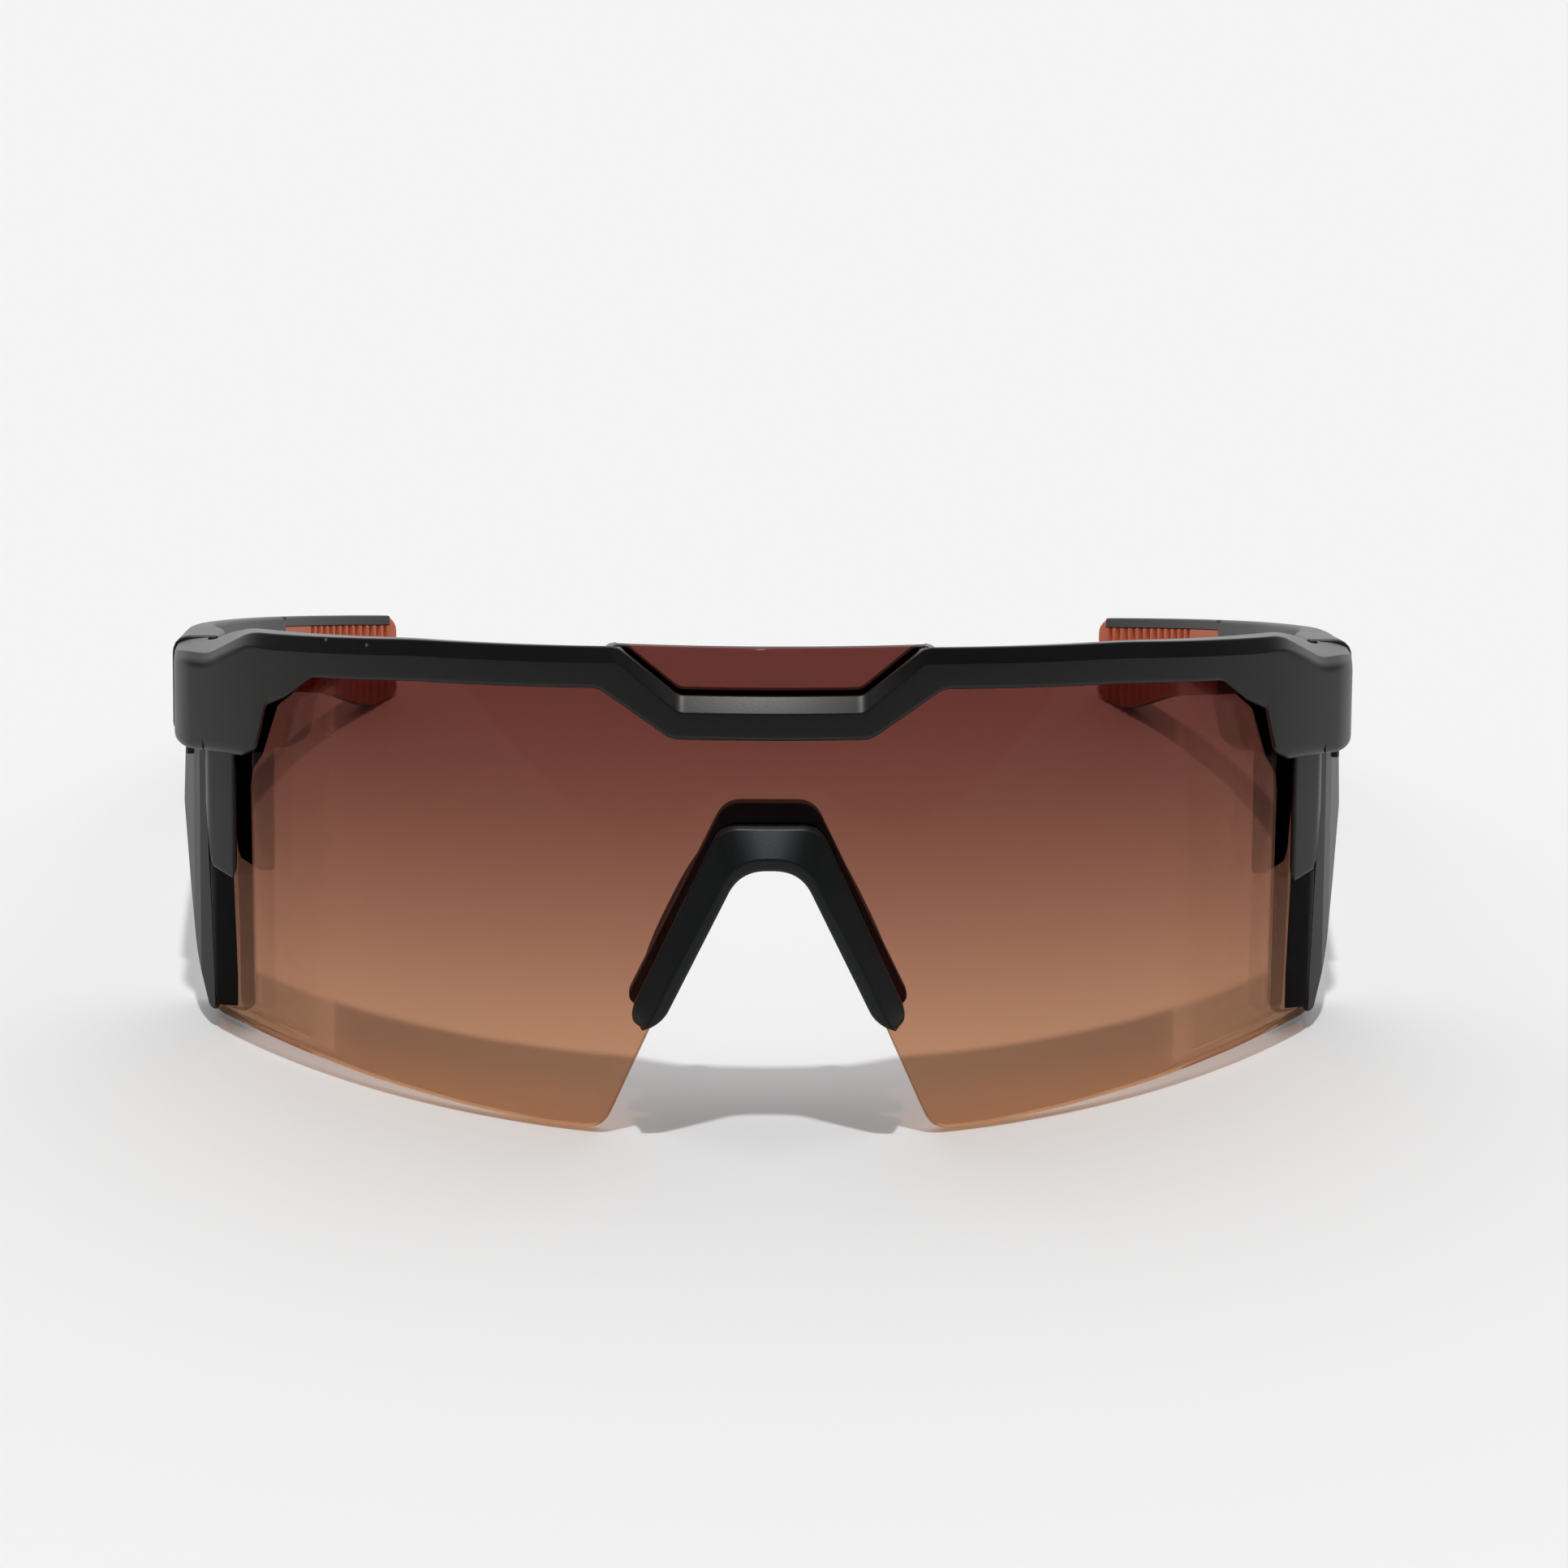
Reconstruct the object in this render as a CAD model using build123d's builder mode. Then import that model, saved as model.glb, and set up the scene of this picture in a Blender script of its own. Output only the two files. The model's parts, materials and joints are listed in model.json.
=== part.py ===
from build123d import *
from math import asin, cos, degrees, radians, sin
import os

# Wraparound sport sunglasses standing open on the lens and the two temple tips.
# +X is the wearer's left side, -Y is the way the lens faces, +Z is up, millimetres.
# The front is drawn on two planes that lean back with the lens: on the face plane
# x is across and y is height up the lens, on the ring plane x is across and y is
# depth behind the middle of the lens.

# ---- front ----
lens_lean = 11.0
lens_radius = 88.0
lens_thickness = 2.0
lens_top = 59.3
lens_lift = 1.08
front_foot_y = -77.11
fit_gap = 0.1

bar_depth = 3.0
bar_behind_lens = 2.2
front_half_width = 73.5
endpiece_inner_x = 69.6
endpiece_depth = 43.0
endpiece_bottom = 41.4
endpiece_top = 53.2
tab_depth = 1.6
carrier_thickness = 2.5
carrier_bottom = 7.8
tongue_height = 3.0

# ---- nose ----
nose_crown = 32.9
nose_crown_x = 3.6
nose_splay = 0.488
nose_front_depth = 3.6
nose_rear_depth = 3.2
pad_length = 20.0
pad_width = 9.0
pad_thickness = 2.8

# ---- temples ----
temple_slope = 19.0
temple_gap = 0.35
temple_root_x = 74.0
temple_bulge_x = 74.5
temple_straight = 22.0
temple_length = 108.0
temple_bend_radius = 176.0
temple_root_thickness = 5.6
temple_thickness = 3.0
grip_start = 74.0
grip_thickness = 1.4
grip_end_wrap = 2.2
grip_rim = 1.3
rib_count = 12
rib_pitch = 1.9
rib_depth = 0.5
wire_diameter = 1.2

# ---- hinges ----
hinge_x = 68.6
hinge_depth = 46.2
knuckle_radius = 1.9
knuckle_heights = (43.6, 46.2, 46.5, 49.1, 49.4, 52.0)
leaf_thickness = 1.2
pin_diameter = 1.5
pin_clearance = 0.05
screw_head_diameter = 3.0
small_screw_diameter = 1.2
small_head_diameter = 2.2
small_head_height = 0.7

# ---- planes ----
lean = radians(lens_lean)
front_foot = (0, front_foot_y, lens_lift)
ring_plane = Plane(origin=front_foot, x_dir=(1, 0, 0), z_dir=(0, sin(lean), cos(lean)))
face_plane = Plane(origin=front_foot, x_dir=(1, 0, 0), z_dir=(0, -cos(lean), sin(lean)))


def front_point(x, depth, height):
    """Place a point given across, behind and up the leaning lens."""
    return (
        x,
        front_foot_y + depth * cos(lean) + height * sin(lean),
        lens_lift + height * cos(lean) - depth * sin(lean),
    )


slope = radians(temple_slope)
temple_root_depth = endpiece_depth + temple_gap
temple_root = front_point(0, temple_root_depth, endpiece_top)
temple_plan = Plane(origin=temple_root, x_dir=(1, 0, 0), z_dir=(0, sin(slope), cos(slope)))
temple_side = Plane(origin=temple_root, x_dir=(0, cos(slope), -sin(slope)), z_dir=(1, 0, 0))
far = 40.0
deep = 70.0


def mirrored_outline(points, corner_radii):
    """Close a right-hand outline across the middle and round the named corners."""
    with BuildSketch(mode=Mode.PRIVATE) as outline:
        with BuildLine():
            Polyline(*points)
            Line(points[-1], points[0])
        make_face()
        for corner, radius in corner_radii:
            fillet(outline.vertices().sort_by_distance(corner)[0], radius)
        mirror(about=Plane.YZ)
    return outline.sketch


lens_outline = mirrored_outline(
    [
        (0, lens_top), (18.8, lens_top), (20.4, 57.2), (45, 56.4), (61, 54.6), (66, 51.2),
        (69.2, 51.2), (69.2, 30), (68.3, 7.7), (58, 5.4), (47.8, 3.3), (37, 1.5), (26.5, 0.1),
        (19.9, -0.1), (12.9, 13.8), (14.3, 14.4), (5.2, 34.4), (0, 34.4),
    ],
    [
        ((18.8, lens_top), 1.0), ((20.4, 57.2), 1.0), ((61, 54.6), 2.5), ((66, 51.2), 2.0),
        ((69.2, 51.2), 1.5), ((69.2, 30), 40), ((68.3, 7.7), 1.2), ((58, 5.4), 60),
        ((47.8, 3.3), 60), ((37, 1.5), 60), ((19.9, -0.1), 3.4), ((14.3, 14.4), 0.4),
        ((5.2, 34.4), 3.0),
    ],
)

front_outline = mirrored_outline(
    [
        (0, 48.6), (11.9, 48.6), (20.6, 54.5), (43, 53.8), (55.4, 52.8), (58.7, 49.9),
        (61.3, 48.3), (62.6, 42.6), (64.4, endpiece_bottom), (front_half_width, endpiece_bottom - 0.4),
        (front_half_width, endpiece_top - 0.3), (68.9, endpiece_top), (63.2, 57.2), (43, 58.9),
        (18.4, 59.6), (10.0, 53.8), (0, 53.8),
    ],
    [
        ((11.9, 48.6), 3.0), ((20.6, 54.5), 3.0), ((43, 53.8), 60), ((55.4, 52.8), 1.2),
        ((58.7, 49.9), 1.0), ((61.3, 48.3), 1.0), ((62.6, 42.6), 1.2), ((64.4, endpiece_bottom), 1.0),
        ((front_half_width, endpiece_bottom - 0.4), 1.6), ((68.9, endpiece_top), 4.0),
        ((63.2, 57.2), 5.0), ((43, 58.9), 80), ((18.4, 59.6), 1.4), ((10.0, 53.8), 2.0),
    ],
)

tab_outline = mirrored_outline(
    [
        (65.4, endpiece_bottom + 1), (65.4, 25.6), (68.7, 26.6), (69.4, endpiece_bottom + 1),
    ],
    [((65.4, 25.6), 0.5), ((68.7, 26.6), 0.5)],
)

channel_outline = mirrored_outline(
    [
        (17.8, 56.6), (21.0, 54.8), (43, 54.2), (56.4, 52.9), (66, endpiece_top - 2.2),
        (68.9, endpiece_top - 0.2), (62.6, 55.9), (43, 57.6), (20.2, 58.4), (18.0, 58.4),
    ],
    [((43, 54.2), 60), ((18.0, 58.4), 0.5), ((62.6, 55.9), 5.0), ((43, 57.6), 80)],
)

rear_rail_outline = mirrored_outline(
    [
        (0, 50.6), (11.2, 50.6), (18.4, 55.4), (20.6, 55.4), (20.6, 57.9), (19.2, 58.9), (17.2, 58.9),
        (10.9, 53.9), (0, 53.9),
    ],
    [((11.2, 50.6), 3.0), ((19.2, 58.9), 0.8), ((17.2, 58.9), 0.8), ((10.9, 53.9), 2.0)],
)

carrier_outline = mirrored_outline(
    [
        (56.2, 52.0), (58.2, 49.3), (60.1, 47.5), (62.1, 41.0), (63.4, 38.9), (63.7, 36.6),
        (63.4, carrier_bottom + 1), (64.8, carrier_bottom), (69.2, carrier_bottom), (70.9, 14.2),
        (71.8, 23.4), (72.6, 33.0), (72.3, endpiece_bottom - 0.5), (68.2, endpiece_bottom - 0.5),
        (68.2, 50.4), (66, 50.4), (61, 51.4), (58, 51.9),
    ],
    [
        ((58.2, 49.3), 0.8), ((60.1, 47.5), 0.8), ((62.1, 41.0), 0.8), ((63.4, 38.9), 1.0),
        ((63.4, carrier_bottom + 1), 0.8), ((69.2, carrier_bottom), 0.8), ((70.9, 14.2), 30),
        ((71.8, 23.4), 30), ((72.6, 33.0), 6),
    ],
)


def arch_outline(outer_foot, outer_shoulder, end_height, end_radius):
    """Half of an arch over the nose: straight legs, a rounded crown and rounded feet."""
    inner_foot = nose_crown_x + (nose_crown - end_height) * nose_splay
    crown = outer_shoulder[1]
    return mirrored_outline(
        [
            (0, nose_crown), (nose_crown_x, nose_crown), (inner_foot, end_height),
            (outer_foot, end_height), outer_shoulder, (0, crown),
        ],
        [
            ((nose_crown_x, nose_crown), 5.0), ((inner_foot, end_height), end_radius),
            ((outer_foot, end_height), end_radius), (outer_shoulder, 3.4),
        ],
    )


nose_front_outline = arch_outline(17.4, (5.9, 38.0), 13.2, 1.7)
nose_rear_outline = arch_outline(17.6, (5.4, 40.2), 14.9, 1.2)
nose_web_outline = arch_outline(13.6, (5.1, 34.2), 15.5, 0.3)


def shell(inner_depth, outer_depth, bottom, top):
    """Ring wall about the lens axis, between two offsets from the lens's front face."""
    with BuildPart(mode=Mode.PRIVATE) as ring:
        with BuildSketch(ring_plane.offset(bottom)):
            with Locations((0, lens_radius)):
                Circle(lens_radius + outer_depth)
                Circle(lens_radius + inner_depth, mode=Mode.SUBTRACT)
        extrude(amount=top - bottom)
    return ring.part


def prism(outline):
    """An outline on the leaning face carried straight back through the front."""
    with BuildPart(mode=Mode.PRIVATE) as column:
        with BuildSketch(face_plane.offset(far / 2)):
            add(outline)
        extrude(amount=-deep - far / 2)
    return column.part


def lens_blank(gap):
    """The lens grown by a gap on every side."""
    with BuildPart(mode=Mode.PRIVATE) as blank:
        add(shell(-lens_thickness - gap, gap, -2, lens_top + 2))
        with BuildSketch(face_plane.offset(far / 2)):
            add(lens_outline)
            if gap > 0:
                offset(amount=gap)
        extrude(amount=-deep - far / 2, mode=Mode.INTERSECT)
    return blank.part


os.makedirs("parts", exist_ok=True)


def write_piece(name, solid):
    solid.label = name
    export_step(solid, f"parts/{name}.step")


def write_pair(stem, solid):
    """Write a piece of the wearer's left side, at +X, and its mirror image."""
    with BuildPart() as other_side:
        mirror(solid, about=Plane.YZ)
    write_piece(f"{stem}_left", solid)
    write_piece(f"{stem}_right", other_side.part)


# ---- lens: one curved shield with a raised tongue and a nose notch ----
with BuildPart() as lens:
    add(lens_blank(0))
write_piece("lens", lens.part)

lens_clearance = lens_blank(fit_gap)


# ---- side carriers: layer behind the lens edge with a flank that flares outward ----
def plan_prism(points, bottom, top):
    """A plan outline of the +X side carried up the leaning front."""
    with BuildPart(mode=Mode.PRIVATE) as block:
        with BuildSketch(ring_plane.offset(bottom)):
            with BuildLine():
                Polyline(*points, close=True)
            make_face()
        extrude(amount=top - bottom)
    return block.part


carrier_front = -lens_thickness - fit_gap
carrier_rear = carrier_front - carrier_thickness
tongue = plan_prism(
    [(70.6, 37.5), (72.2, 37.5), (72.2, 42.2), (70.6, 42.2)],
    endpiece_bottom - 2, endpiece_bottom + tongue_height,
)
flank_rear = endpiece_depth - 0.3
flank_plan = [
    (66.0, 37.5), (67.2, 33.0), (69.2, 33.0), (71.2, 37.0), (72.9, 41.0), (72.9, flank_rear),
    (70.9, flank_rear), (68.8, 41.4), (66.8, 39.4),
]

with BuildPart() as side_carrier:
    with BuildSketch(ring_plane.offset(2)):
        with Locations((0, lens_radius)):
            Circle(lens_radius + carrier_front)
            Circle(lens_radius + carrier_rear, mode=Mode.SUBTRACT)
        with Locations((60.2, 40)):
            Rectangle(16, 80, mode=Mode.INTERSECT)
    extrude(amount=52)
    add(plan_prism(flank_plan, 2, endpiece_bottom - 0.1))
    add(prism(carrier_outline), mode=Mode.INTERSECT)
    add(tongue)
    add(lens_clearance, mode=Mode.SUBTRACT)
    add(shell(-fit_gap, 12, 0, 46), mode=Mode.SUBTRACT)


# ---- frame leaf of the hinge, its two screws and the pin ----
def upright_bar(x, depth, diameter, bottom, top):
    """Round bar standing along the hinge direction."""
    with BuildPart(mode=Mode.PRIVATE) as bar:
        with BuildSketch(ring_plane.offset(bottom)):
            with Locations((x, depth)):
                Circle(diameter / 2)
        extrude(amount=top - bottom)
    return bar.part


def small_screws(places, start_x, end_x):
    """Two small screws lying across, heads inward, as one group of solids."""
    with BuildPart(mode=Mode.PRIVATE) as screws:
        for depth, height in places:
            seat = Plane(origin=front_point(start_x, depth, height), z_dir=(1, 0, 0))
            with BuildSketch(seat):
                Circle(small_screw_diameter / 2)
            extrude(amount=end_x - start_x)
            with BuildSketch(seat):
                Circle(small_head_diameter / 2)
            extrude(amount=-small_head_height)
    return screws.part


low_bottom, low_top, mid_bottom, mid_top, high_bottom, high_top = knuckle_heights
knuckle_diameter = 2 * knuckle_radius
head_bottom = high_top - 0.85
pin_bore = upright_bar(hinge_x, hinge_depth, pin_diameter + 2 * pin_clearance, 40, 56)
head_bore = upright_bar(hinge_x, hinge_depth, screw_head_diameter + 0.1, head_bottom, 56)
leaf_inner_x = endpiece_inner_x - leaf_thickness
frame_screws = small_screws([(41.3, 45.6), (41.3, 50.0)], leaf_inner_x, 72.4)

with BuildPart() as frame_leaf:
    add(plan_prism(
        [(leaf_inner_x, 39.9), (endpiece_inner_x, 39.9), (endpiece_inner_x, 45.4), (leaf_inner_x, 45.4)],
        low_bottom, high_top,
    ))
    add(plan_prism([(64, 43.6), (72, 43.6), (72, 49), (64, 49)], low_top, high_bottom), mode=Mode.SUBTRACT)
    add(upright_bar(hinge_x, hinge_depth, knuckle_diameter, low_bottom, low_top))
    add(upright_bar(hinge_x, hinge_depth, knuckle_diameter, high_bottom, high_top))
    add(pin_bore, mode=Mode.SUBTRACT)
    add(head_bore, mode=Mode.SUBTRACT)
    add(frame_screws, mode=Mode.SUBTRACT)

with BuildPart() as hinge_pin:
    add(upright_bar(hinge_x, hinge_depth, pin_diameter, low_bottom, head_bottom))
    add(upright_bar(hinge_x, hinge_depth, screw_head_diameter, head_bottom, high_top - 0.05))
    pin_top = front_point(hinge_x, hinge_depth, high_top - 0.05)
    with BuildSketch(Plane(origin=pin_top, z_dir=ring_plane.z_dir)):
        Rectangle(screw_head_diameter, 0.5)
    extrude(amount=-0.4, mode=Mode.SUBTRACT)

# ---- temple leaf of the hinge and its screws ----
leaf_plane = Plane(
    origin=front_point(leaf_inner_x, 0, 0), x_dir=(0, cos(lean), -sin(lean)), z_dir=(1, 0, 0),
)
temple_screws = small_screws([(52.2, 47.4), (56.0, 46.8)], leaf_inner_x, 72.4)

with BuildPart() as temple_leaf:
    with BuildSketch(leaf_plane):
        with BuildLine():
            Polyline(
                (47.0, mid_bottom), (49.2, mid_bottom), (49.2, 44.4), (58.4, 43.2), (58.4, 49.2),
                (49.2, 50.6), (49.2, mid_top), (47.0, mid_top), close=True,
            )
        make_face()
    extrude(amount=leaf_thickness)
    add(upright_bar(hinge_x, hinge_depth, knuckle_diameter, mid_bottom, mid_top))
    add(pin_bore, mode=Mode.SUBTRACT)
    add(temple_screws, mode=Mode.SUBTRACT)

# ---- brow frame: bar, corner blocks, endpieces and the tabs over the lens edges ----
with BuildPart() as channel:
    add(shell(-lens_thickness - bar_behind_lens, bar_depth - 0.6, 50, lens_top + 2))
    add(prism(channel_outline), mode=Mode.INTERSECT)

with BuildPart() as rear_rail:
    add(shell(-lens_thickness - bar_behind_lens, -lens_thickness - fit_gap, 48, lens_top + 2))
    add(prism(rear_rail_outline), mode=Mode.INTERSECT)

with BuildPart() as tabs:
    add(shell(0, tab_depth, 20, endpiece_bottom + 2))
    add(prism(tab_outline), mode=Mode.INTERSECT)

with BuildPart() as endpieces:
    with BuildSketch(ring_plane.offset(endpiece_bottom - 0.4)):
        with BuildLine():
            Polyline(
                (endpiece_inner_x, 25), (front_half_width, 25),
                (front_half_width, endpiece_depth), (endpiece_inner_x, endpiece_depth), close=True,
            )
        make_face()
        mirror(about=Plane.YZ)
        with Locations((0, lens_radius)):
            Circle(lens_radius + bar_depth, mode=Mode.INTERSECT)
    extrude(amount=endpiece_top - endpiece_bottom + 0.4)
    add(prism(front_outline), mode=Mode.INTERSECT)

with BuildPart() as pockets:
    add(tongue)
    add(frame_screws)
    mirror(about=Plane.YZ)

with BuildPart() as brow_frame:
    add(shell(0, bar_depth, 40, lens_top + 2))
    add(prism(front_outline), mode=Mode.INTERSECT)
    add(channel.part)
    add(rear_rail.part)
    add(tabs.part)
    add(endpieces.part)
    add(lens_clearance, mode=Mode.SUBTRACT)
    add(pockets.part, mode=Mode.SUBTRACT)

# ---- nose clip: arch in front of the lens with a web through the notch ----
with BuildPart() as nose_web:
    add(shell(-lens_thickness - fit_gap, nose_front_depth, 8, 44))
    add(prism(nose_web_outline), mode=Mode.INTERSECT)

with BuildPart() as nose_clip:
    add(shell(fit_gap, nose_front_depth, 8, 44))
    add(prism(nose_front_outline), mode=Mode.INTERSECT)
    add(nose_web.part)

# ---- nose pad: rubber flange behind the lens with a soft wing behind each leg ----
lens_centre = Vector(*front_point(0, 0, 0))
leg_direction = Vector(*front_point(-0.437, 0, 0.899)) - lens_centre
wing_direction = Vector(*front_point(0.22, 0.97, 0.107)) - lens_centre
wing_plane = Plane(
    origin=front_point(9.4, 4.6, 24.6), x_dir=wing_direction, z_dir=wing_direction.cross(leg_direction),
)

with BuildPart() as nose_wing:
    with BuildSketch(wing_plane.offset(-pad_thickness / 2)):
        with Locations((pad_width / 2, 0)):
            RectangleRounded(pad_width, pad_length, 3.2)
    extrude(amount=pad_thickness)
    fillet(nose_wing.edges(), 0.9)

with BuildPart() as nose_wings:
    add(nose_wing.part)
    mirror(about=Plane.YZ)

with BuildPart() as nose_pad:
    add(shell(-lens_thickness - nose_rear_depth, -lens_thickness - fit_gap, 8, 44))
    add(prism(nose_rear_outline), mode=Mode.INTERSECT)
    add(nose_wings.part)

# ---- temples: an arm curved in plan and tapered in height, with a rubber grip inside ----
bend_centre = (temple_bulge_x - temple_bend_radius, temple_straight)
inner_radius = temple_bend_radius - temple_thickness
tip_angle = degrees(asin((temple_length - temple_straight) / temple_bend_radius))
taper_angle = degrees(asin(14.0 / inner_radius))
grip_angle = degrees(asin((grip_start - temple_straight) / inner_radius))
wrap_angle = tip_angle - degrees(grip_end_wrap / temple_bend_radius)


def bend_point(radius, angle):
    """Point on a circle about the temple's bend centre, in the plan of the temple."""
    return (
        bend_centre[0] + radius * cos(radians(angle)),
        bend_centre[1] + radius * sin(radians(angle)),
    )


def bend_band(inner, outer, start, end, bottom, top):
    """Curved bar between two radii about the bend centre."""
    with BuildPart(mode=Mode.PRIVATE) as band:
        with BuildSketch(temple_plan.offset(bottom)):
            with BuildLine():
                CenterArc(bend_centre, outer, start, end - start)
                Line(bend_point(outer, end), bend_point(inner, end))
                CenterArc(bend_centre, inner, start, end - start)
                Line(bend_point(inner, start), bend_point(outer, start))
            make_face()
        extrude(amount=top - bottom)
    return band.part


root_inner_x = temple_root_x - temple_root_thickness
side_corners = [
    ((temple_length, 0.3), 2.6), ((temple_length, -10.6), 1.6), ((102, -12.4), 6.0), ((92, -10.2), 30.0),
    ((62, -8.7), 60.0), ((26, -9.4), 25.0), ((8, -12.2), 12.0),
]

with BuildPart() as whole_temple:
    with BuildSketch(temple_plan.offset(-20)):
        with BuildLine():
            CenterArc(bend_centre, temple_bend_radius, 0, tip_angle)
            Line(bend_point(temple_bend_radius, tip_angle), bend_point(inner_radius, tip_angle))
            CenterArc(bend_centre, inner_radius, taper_angle, tip_angle - taper_angle)
            Polyline(
                bend_point(inner_radius, taper_angle), (root_inner_x, 17), (root_inner_x, -4),
                (temple_root_x, -4),
            )
            ThreePointArc((temple_root_x, -4), (74.35, 9), (temple_bulge_x, temple_straight))
        make_face()
    extrude(amount=30)
    with BuildSketch(temple_side.offset(30)) as temple_profile:
        with BuildLine():
            ThreePointArc((-4, 0.2), (50, 0.9), (temple_length, 0.3))
            Polyline(
                (temple_length, 0.3), (temple_length, -10.6), (102, -12.4), (92, -10.2), (62, -8.7),
                (26, -9.4), (8, -12.2), (-4, -12.2), (-4, 0.2),
            )
        make_face()
        for corner, radius in side_corners:
            fillet(temple_profile.vertices().sort_by_distance(corner)[0], radius)
    extrude(amount=60, mode=Mode.INTERSECT)
    split(bisect_by=face_plane.offset(-temple_root_depth), keep=Keep.BOTTOM)
    split(bisect_by=Plane.XY, keep=Keep.TOP)

with BuildPart() as temple_grip:
    add(bend_band(inner_radius - 1, inner_radius + grip_thickness, grip_angle, tip_angle, -20, -grip_rim))
    add(bend_band(inner_radius - 1, temple_bend_radius + 1, wrap_angle, tip_angle + 1, -20, 3))
    add(whole_temple.part, mode=Mode.INTERSECT)
    with BuildSketch(temple_plan.offset(-16)):
        with Locations(bend_centre):
            rib_step = degrees(rib_pitch / inner_radius)
            ribs_end = wrap_angle - rib_step / 2
            with PolarLocations(inner_radius, rib_count, ribs_end - rib_step * (rib_count - 1),
                                rib_step * (rib_count - 1), endpoint=True):
                Circle(rib_depth)
    extrude(amount=20, mode=Mode.SUBTRACT)

with BuildPart() as core_wire:
    with BuildLine(temple_plan.offset(-4.4)) as wire_line:
        CenterArc(bend_centre, temple_bend_radius - temple_thickness / 2, -0.8, 17.0)
    with BuildSketch(Plane(origin=wire_line.line @ 0, z_dir=wire_line.line % 0)):
        Circle(wire_diameter / 2)
    sweep()

with BuildPart() as hinge_pocket:
    add(plan_prism([(60, 42), (70.9, 42), (70.9, 48.6), (60, 48.6)], low_bottom - 0.3, high_top + 0.3))
    add(upright_bar(hinge_x, hinge_depth, screw_head_diameter + 0.4, high_top, 56))

with BuildPart() as temple_arm:
    add(whole_temple.part)
    add(temple_grip.part, mode=Mode.SUBTRACT)
    add(core_wire.part, mode=Mode.SUBTRACT)
    add(hinge_pocket.part, mode=Mode.SUBTRACT)
    add(temple_leaf.part, mode=Mode.SUBTRACT)
    add(temple_screws, mode=Mode.SUBTRACT)

# ---- files ----
write_piece("brow_frame", brow_frame.part)
write_piece("nose_clip", nose_clip.part)
write_piece("nose_pad", nose_pad.part)
for stem, solid in (
    ("side_carrier", side_carrier.part),
    ("hinge_frame_leaf", frame_leaf.part),
    ("frame_leaf_screws", frame_screws),
    ("hinge_pin", hinge_pin.part),
    ("hinge_temple_leaf", temple_leaf.part),
    ("temple_leaf_screws", temple_screws),
    ("temple_arm", temple_arm.part),
    ("temple_grip", temple_grip.part),
    ("core_wire", core_wire.part),
):
    write_pair(stem, solid)
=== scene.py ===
import json
from math import atan2, cos, pi, radians, sin, tan

import bmesh
import bpy
import numpy as np
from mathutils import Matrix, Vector


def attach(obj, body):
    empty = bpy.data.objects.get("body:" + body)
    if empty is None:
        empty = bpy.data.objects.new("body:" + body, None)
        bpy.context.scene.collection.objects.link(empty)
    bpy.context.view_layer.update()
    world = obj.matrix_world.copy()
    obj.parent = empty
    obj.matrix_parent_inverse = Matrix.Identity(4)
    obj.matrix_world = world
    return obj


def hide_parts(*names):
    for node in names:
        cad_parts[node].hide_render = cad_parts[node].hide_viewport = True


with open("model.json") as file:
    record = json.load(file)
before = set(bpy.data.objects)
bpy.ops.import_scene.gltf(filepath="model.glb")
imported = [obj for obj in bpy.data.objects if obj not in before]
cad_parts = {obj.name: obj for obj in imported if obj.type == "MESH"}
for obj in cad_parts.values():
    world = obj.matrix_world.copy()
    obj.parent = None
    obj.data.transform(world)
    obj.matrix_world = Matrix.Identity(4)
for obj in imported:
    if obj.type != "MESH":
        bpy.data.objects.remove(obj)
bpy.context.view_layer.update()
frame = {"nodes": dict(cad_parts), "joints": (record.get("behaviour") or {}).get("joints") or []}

bl_info = {
    "name": "Sport Sunglasses",
    "version": (1, 0, 0),
    "blender": (4, 5, 0),
    "location": "View3D > Sidebar > Sunglasses",
    "description": "Wraparound sport sunglasses built round their CAD frame",
    "category": "Add Mesh",
}

# Shapes are drawn in millimetres and written to meshes in metres.
MM = 0.001
BODY_OF = {side: f"temple_{side}" for side in ("left", "right")}

# ---------------------------------------------------------------- the frame
# The front leans back with its hinge axes. Its own coordinates are x across,
# depth behind the middle of the lens and height up the lens.
FOLD = frame["joints"][0]
LEAN = atan2(FOLD["axis"][1], FOLD["axis"][2])
HINGE_DEPTH = 46.2
HINGE_HEIGHT = 47.8
FOOT_Y = FOLD["pos_m"][1] / MM - HINGE_DEPTH * cos(LEAN) - HINGE_HEIGHT * sin(LEAN)
FOOT_Z = FOLD["pos_m"][2] / MM - HINGE_HEIGHT * cos(LEAN) + HINGE_DEPTH * sin(LEAN)

LENS_TOP = 59.3
LENS_HALF_WIDTH = 69.2
LENS_EDGE_RADIUS = 0.45
FADE_LOW = 3.0
FADE_HIGH = 55.0
ENDPIECE_TOP = 53.2
ENDPIECE_BOTTOM = 41.4
ENDPIECE_DEPTH = 43.0
ENDPIECE_INNER_X = 69.6
FRONT_HALF_WIDTH = 73.5
NOSE_CROWN = 32.9
NOSE_CROWN_X = 3.6
NOSE_SPLAY = 0.488
NOSE_FRONT_DEPTH = 3.6
NOSE_REAR_DEPTH = 3.2

TEMPLE_SLOPE = radians(19)
TEMPLE_GAP = 0.35
TEMPLE_ROOT_X = 74.0
TEMPLE_BULGE_X = 74.5
TEMPLE_ROOT_THICKNESS = 5.6
TEMPLE_THICKNESS = 3.0
TEMPLE_STRAIGHT = 22.0
TEMPLE_LENGTH = 108.0
TEMPLE_BEND_RADIUS = 176.0
GRIP_START = 74.0
GRIP_THICKNESS = 1.4
GRIP_RIM = 1.3
GRIP_WRAP = 2.2
RIB_COUNT = 12
RIB_PITCH = 1.9


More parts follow.
